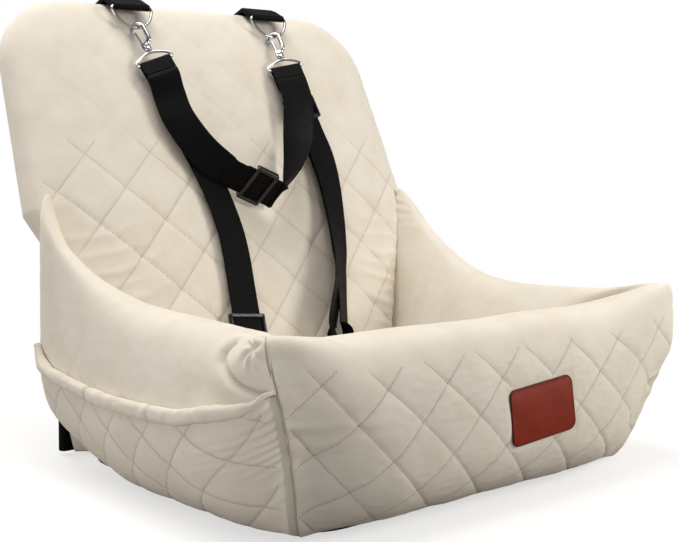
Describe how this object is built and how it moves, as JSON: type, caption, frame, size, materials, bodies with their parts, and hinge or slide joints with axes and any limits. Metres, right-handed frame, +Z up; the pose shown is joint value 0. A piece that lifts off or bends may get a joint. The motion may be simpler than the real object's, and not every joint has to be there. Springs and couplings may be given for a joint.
{
  "type": "dog car seat",
  "caption": "Quilted dog car seat: padded basket with side pockets, leaning backrest, clip-on webbing tethers with sliders.",
  "frame": {"origin": "middle of the flat underside of the bottom panel", "axes": "+Z up, -Y towards the front wall that the dog looks over, +X to the right side as seen from the front"},
  "size_m": [0.6026, 0.5809, 0.5119],
  "materials": {
    "cream_cloth": "soft napped cloth, quilted",
    "foam": "open foam",
    "base_cloth": "dark dotted non-slip cloth",
    "webbing": "ribbed black webbing",
    "chrome": "polished",
    "black_plastic": "moulded, lightly grained",
    "patch_leather": "chestnut, bare, darker rim",
    "zip_metal": "zip teeth and slider"
  },
  "bodies": {
    "seat": {"bottom_panel": "base_cloth", "base_foam": "foam", "seat_pad": "cream_cloth", "rear_cloth": "cream_cloth", "zip_tape": "zip_metal", "front_wall": "cream_cloth", "left_wall": "cream_cloth", "right_wall": "cream_cloth", "left_pocket": "cream_cloth", "right_pocket": "cream_cloth", "left_pocket_hem": "cream_cloth", "right_pocket_hem": "cream_cloth", "left_belt_loop": "webbing", "right_belt_loop": "webbing", "backrest_cover": "cream_cloth", "backrest_foam": "foam", "leather_patch": "patch_leather", "left_tab": "webbing", "right_tab": "webbing", "cross_strap_left": "webbing", "cross_strap_right": "webbing", "left_tether": "webbing", "right_loop": "webbing"},
    "left_ring": {"left_d_ring": "chrome"},
    "left_hook_body": {"left_hook": "chrome", "left_gate_pin": "chrome"},
    "left_gate_body": {"left_gate": "chrome"},
    "left_eye_body": {"left_eye": "chrome", "left_strap_fold": "webbing"},
    "right_ring": {"right_d_ring": "chrome"},
    "right_hook_body": {"right_hook": "chrome", "right_gate_pin": "chrome"},
    "right_gate_body": {"right_gate": "chrome"},
    "right_eye_body": {"right_eye": "chrome", "right_strap_fold": "webbing"},
    "cross_slider_body": {"cross_slider": "black_plastic"},
    "left_slider_body": {"left_slider": "black_plastic"},
    "right_slider_body": {"right_slider": "black_plastic"},
    "zip_slider_body": {"zip_slider": "zip_metal", "zip_pin": "zip_metal"},
    "zip_pull_body": {"zip_pull": "zip_metal"}
  },
  "joints": [
    {"name": "left_ring_swing", "type": "hinge", "parent": "seat", "child": "left_ring", "pos_m": [-0.102, 0.27834, 0.4996], "axis": [-1, 0, 0], "range_deg": [0, 35]},
    {"name": "left_hook_pivot", "type": "hinge", "parent": "left_ring", "child": "left_hook_body", "pos_m": [-0.102, 0.26736, 0.47493], "axis": [-1, 0, 0], "range_deg": [0, 10]},
    {"name": "left_swivel", "type": "hinge", "parent": "left_hook_body", "child": "left_eye_body", "pos_m": [-0.102, 0.26736, 0.47493], "axis": [0.1356, -0.598, -0.79], "range_deg": [-12, 12]},
    {"name": "left_gate", "type": "hinge", "parent": "left_hook_body", "child": "left_gate_body", "pos_m": [-0.10018, 0.25275, 0.45225], "axis": [0.7363, 0.5943, -0.3235], "range_deg": [0, 17], "stiffness_Nm_per_rad": 0.01, "springref_deg": -11.46},
    {"name": "right_ring_swing", "type": "hinge", "parent": "seat", "child": "right_ring", "pos_m": [0.102, 0.27834, 0.4996], "axis": [-1, 0, 0], "range_deg": [0, 35]},
    {"name": "right_hook_pivot", "type": "hinge", "parent": "right_ring", "child": "right_hook_body", "pos_m": [0.102, 0.26736, 0.47493], "axis": [-1, 0, 0], "range_deg": [0, 10]},
    {"name": "right_swivel", "type": "hinge", "parent": "right_hook_body", "child": "right_eye_body", "pos_m": [0.102, 0.26736, 0.47493], "axis": [-0.051, -0.6013, -0.7974], "range_deg": [-12, 10]},
    {"name": "right_gate", "type": "hinge", "parent": "right_hook_body", "child": "right_gate_body", "pos_m": [0.09879, 0.25287, 0.45232], "axis": [0.7422, 0.5115, -0.4331], "range_deg": [0, 17], "stiffness_Nm_per_rad": 0.01, "springref_deg": -11.46},
    {"name": "cross_slider_slide", "type": "slide", "parent": "seat", "child": "cross_slider_body", "axis": [0.898, -0.1789, -0.4019], "range_m": [-0.006, 0.006]},
    {"name": "left_slider_slide", "type": "slide", "parent": "seat", "child": "left_slider_body", "axis": [-0.0999, -0.4047, -0.909], "range_m": [-0.034, 0]},
    {"name": "right_slider_slide", "type": "slide", "parent": "seat", "child": "right_slider_body", "axis": [0.1769, -0.4003, -0.8991], "range_m": [0, 0.028]},
    {"name": "zip_slide", "type": "slide", "parent": "seat", "child": "zip_slider_body", "axis": [1, 0, 0], "range_m": [0, 0.21]},
    {"name": "zip_pull_swing", "type": "hinge", "parent": "zip_slider_body", "child": "zip_pull_body", "pos_m": [-0.106, 0.19725, 0.03455], "axis": [1, 0, 0], "range_deg": [0, 150]}
  ]
}
